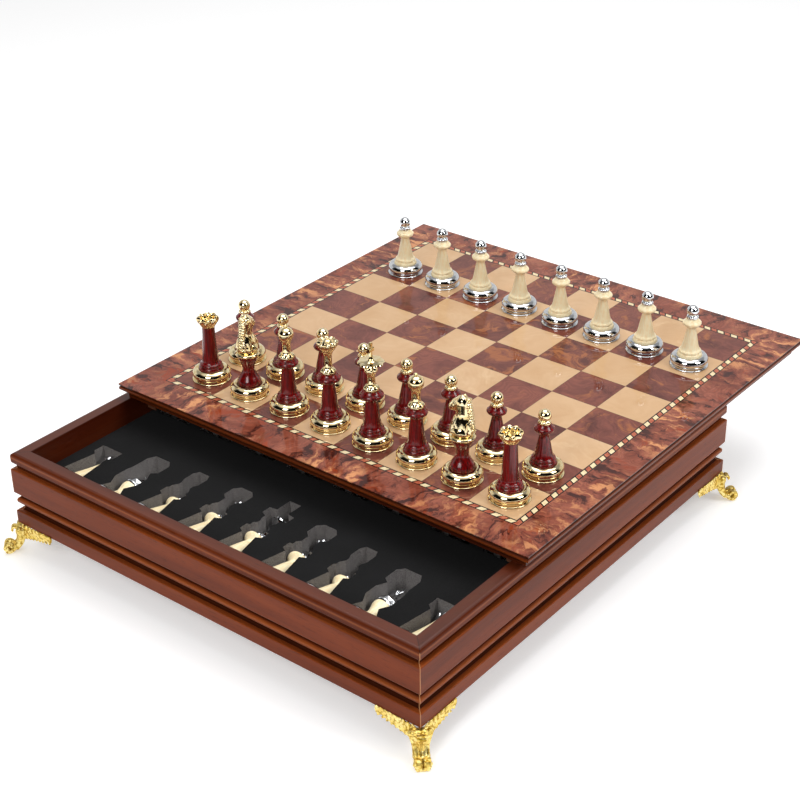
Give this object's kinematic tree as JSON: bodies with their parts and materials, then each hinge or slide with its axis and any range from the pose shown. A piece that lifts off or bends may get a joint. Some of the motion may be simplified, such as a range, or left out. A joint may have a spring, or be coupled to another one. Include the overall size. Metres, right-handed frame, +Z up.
{
  "type": "chess box with sliding board lid",
  "caption": "Moulded wooden chess box on gilt corner feet: the inlaid board slides back as a lid over a foam tray of chessmen.",
  "frame": {"origin": "on the surface that the feet stand on, below the middle of the box round the whole object as it stands with its board pushed back", "axes": "+Z up, +X to the right along the front rail, -Y out of the front rail, +Y the way the board is pushed back"},
  "size_m": [0.381, 0.4734, 0.1692],
  "materials": {
    "walnut": "moulded hardwood under reddish brown gloss lacquer",
    "core_board": "bare core board under the veneers",
    "batten_wood": "plain planed hardwood",
    "dark_burl": "purplish brown burl veneer under high gloss lacquer",
    "light_burl": "cream and tan burl veneer under high gloss lacquer",
    "inlay": "inlaid band of cream, dark and red wood tiles, high gloss",
    "border_burl": "reddish burl veneer under high gloss lacquer",
    "black_foam": "flocked black foam with die-cut pockets",
    "gilt_metal": "cast, chased and gilt, satin",
    "screw_steel": "plain steel",
    "red_man": "polished gilt metal with a red lacquered wooden body",
    "white_man": "chromed metal with an ivory coloured wooden body"
  },
  "bodies": {
    "case": {"front_rail": "walnut", "back_rail": "walnut", "left_rail": "walnut", "right_rail": "walnut", "bottom_panel": "walnut", "foam_base": "black_foam", "foam_tray_front": "black_foam", "foam_tray_back": "black_foam", "foot_front_left": "gilt_metal", "foot_front_right": "gilt_metal", "foot_back_left": "gilt_metal", "foot_back_right": "gilt_metal", "foot_screws": "screw_steel"},
    "board": {"board_core": "core_board", "board_edging": "walnut", "dark_squares": "dark_burl", "light_squares": "light_burl", "inlay_band": "inlay", "border_veneer": "border_burl", "guide_batten_left": "batten_wood", "guide_batten_right": "batten_wood", "batten_screws": "screw_steel"},
    "red_rook_a": {"red_rook_a": "red_man"},
    "red_knight_b": {"red_knight_b": "red_man"},
    "red_bishop_c": {"red_bishop_c": "red_man"},
    "red_queen_d": {"red_queen_d": "red_man"},
    "red_king_e": {"red_king_e": "red_man"},
    "red_bishop_f": {"red_bishop_f": "red_man"},
    "red_knight_g": {"red_knight_g": "red_man"},
    "red_rook_h": {"red_rook_h": "red_man"},
    "red_pawn_a": {"red_pawn_a": "red_man"},
    "red_pawn_b": {"red_pawn_b": "red_man"},
    "red_pawn_c": {"red_pawn_c": "red_man"},
    "red_pawn_d": {"red_pawn_d": "red_man"},
    "red_pawn_e": {"red_pawn_e": "red_man"},
    "red_pawn_f": {"red_pawn_f": "red_man"},
    "red_pawn_g": {"red_pawn_g": "red_man"},
    "red_pawn_h": {"red_pawn_h": "red_man"},
    "white_pawn_a": {"white_pawn_a": "white_man"},
    "white_pawn_b": {"white_pawn_b": "white_man"},
    "white_pawn_c": {"white_pawn_c": "white_man"},
    "white_pawn_d": {"white_pawn_d": "white_man"},
    "white_pawn_e": {"white_pawn_e": "white_man"},
    "white_pawn_f": {"white_pawn_f": "white_man"},
    "white_pawn_g": {"white_pawn_g": "white_man"},
    "white_pawn_h": {"white_pawn_h": "white_man"},
    "white_rook_a": {"white_rook_a": "white_man"},
    "white_knight_b": {"white_knight_b": "white_man"},
    "white_bishop_c": {"white_bishop_c": "white_man"},
    "white_queen_d": {"white_queen_d": "white_man"},
    "white_king_e": {"white_king_e": "white_man"},
    "white_spare_queen": {"white_spare_queen": "white_man"},
    "white_bishop_f": {"white_bishop_f": "white_man"},
    "white_knight_g": {"white_knight_g": "white_man"},
    "white_rook_h": {"white_rook_h": "white_man"}
  },
  "joints": [
    {"name": "board_slide", "type": "slide", "parent": "case", "child": "board", "axis": [0, 1, 0], "range_m": [-0.102, 0]},
    {"name": "lift_red_rook_a", "type": "slide", "parent": "board", "child": "red_rook_a", "axis": [0, 0, 1], "range_m": [0, 0.05]},
    {"name": "lift_red_knight_b", "type": "slide", "parent": "board", "child": "red_knight_b", "axis": [0, 0, 1], "range_m": [0, 0.05]},
    {"name": "lift_red_bishop_c", "type": "slide", "parent": "board", "child": "red_bishop_c", "axis": [0, 0, 1], "range_m": [0, 0.05]},
    {"name": "lift_red_queen_d", "type": "slide", "parent": "board", "child": "red_queen_d", "axis": [0, 0, 1], "range_m": [0, 0.05]},
    {"name": "lift_red_king_e", "type": "slide", "parent": "board", "child": "red_king_e", "axis": [0, 0, 1], "range_m": [0, 0.05]},
    {"name": "lift_red_bishop_f", "type": "slide", "parent": "board", "child": "red_bishop_f", "axis": [0, 0, 1], "range_m": [0, 0.05]},
    {"name": "lift_red_knight_g", "type": "slide", "parent": "board", "child": "red_knight_g", "axis": [0, 0, 1], "range_m": [0, 0.05]},
    {"name": "lift_red_rook_h", "type": "slide", "parent": "board", "child": "red_rook_h", "axis": [0, 0, 1], "range_m": [0, 0.05]},
    {"name": "lift_red_pawn_a", "type": "slide", "parent": "board", "child": "red_pawn_a", "axis": [0, 0, 1], "range_m": [0, 0.05]},
    {"name": "lift_red_pawn_b", "type": "slide", "parent": "board", "child": "red_pawn_b", "axis": [0, 0, 1], "range_m": [0, 0.05]},
    {"name": "lift_red_pawn_c", "type": "slide", "parent": "board", "child": "red_pawn_c", "axis": [0, 0, 1], "range_m": [0, 0.05]},
    {"name": "lift_red_pawn_d", "type": "slide", "parent": "board", "child": "red_pawn_d", "axis": [0, 0, 1], "range_m": [0, 0.05]},
    {"name": "lift_red_pawn_e", "type": "slide", "parent": "board", "child": "red_pawn_e", "axis": [0, 0, 1], "range_m": [0, 0.05]},
    {"name": "lift_red_pawn_f", "type": "slide", "parent": "board", "child": "red_pawn_f", "axis": [0, 0, 1], "range_m": [0, 0.05]},
    {"name": "lift_red_pawn_g", "type": "slide", "parent": "board", "child": "red_pawn_g", "axis": [0, 0, 1], "range_m": [0, 0.05]},
    {"name": "lift_red_pawn_h", "type": "slide", "parent": "board", "child": "red_pawn_h", "axis": [0, 0, 1], "range_m": [0, 0.05]},
    {"name": "lift_white_pawn_a", "type": "slide", "parent": "board", "child": "white_pawn_a", "axis": [0, 0, 1], "range_m": [0, 0.05]},
    {"name": "lift_white_pawn_b", "type": "slide", "parent": "board", "child": "white_pawn_b", "axis": [0, 0, 1], "range_m": [0, 0.05]},
    {"name": "lift_white_pawn_c", "type": "slide", "parent": "board", "child": "white_pawn_c", "axis": [0, 0, 1], "range_m": [0, 0.05]},
    {"name": "lift_white_pawn_d", "type": "slide", "parent": "board", "child": "white_pawn_d", "axis": [0, 0, 1], "range_m": [0, 0.05]},
    {"name": "lift_white_pawn_e", "type": "slide", "parent": "board", "child": "white_pawn_e", "axis": [0, 0, 1], "range_m": [0, 0.05]},
    {"name": "lift_white_pawn_f", "type": "slide", "parent": "board", "child": "white_pawn_f", "axis": [0, 0, 1], "range_m": [0, 0.05]},
    {"name": "lift_white_pawn_g", "type": "slide", "parent": "board", "child": "white_pawn_g", "axis": [0, 0, 1], "range_m": [0, 0.05]},
    {"name": "lift_white_pawn_h", "type": "slide", "parent": "board", "child": "white_pawn_h", "axis": [0, 0, 1], "range_m": [0, 0.05]},
    {"name": "lift_white_rook_a", "type": "slide", "parent": "case", "child": "white_rook_a", "axis": [0, 0, 1], "range_m": [0, 0.05]},
    {"name": "lift_white_knight_b", "type": "slide", "parent": "case", "child": "white_knight_b", "axis": [0, 0, 1], "range_m": [0, 0.05]},
    {"name": "lift_white_bishop_c", "type": "slide", "parent": "case", "child": "white_bishop_c", "axis": [0, 0, 1], "range_m": [0, 0.05]},
    {"name": "lift_white_queen_d", "type": "slide", "parent": "case", "child": "white_queen_d", "axis": [0, 0, 1], "range_m": [0, 0.05]},
    {"name": "lift_white_king_e", "type": "slide", "parent": "case", "child": "white_king_e", "axis": [0, 0, 1], "range_m": [0, 0.05]},
    {"name": "lift_white_spare_queen", "type": "slide", "parent": "case", "child": "white_spare_queen", "axis": [0, 0, 1], "range_m": [0, 0.05]},
    {"name": "lift_white_bishop_f", "type": "slide", "parent": "case", "child": "white_bishop_f", "axis": [0, 0, 1], "range_m": [0, 0.05]},
    {"name": "lift_white_knight_g", "type": "slide", "parent": "case", "child": "white_knight_g", "axis": [0, 0, 1], "range_m": [0, 0.05]},
    {"name": "lift_white_rook_h", "type": "slide", "parent": "case", "child": "white_rook_h", "axis": [0, 0, 1], "range_m": [0, 0.05]}
  ]
}
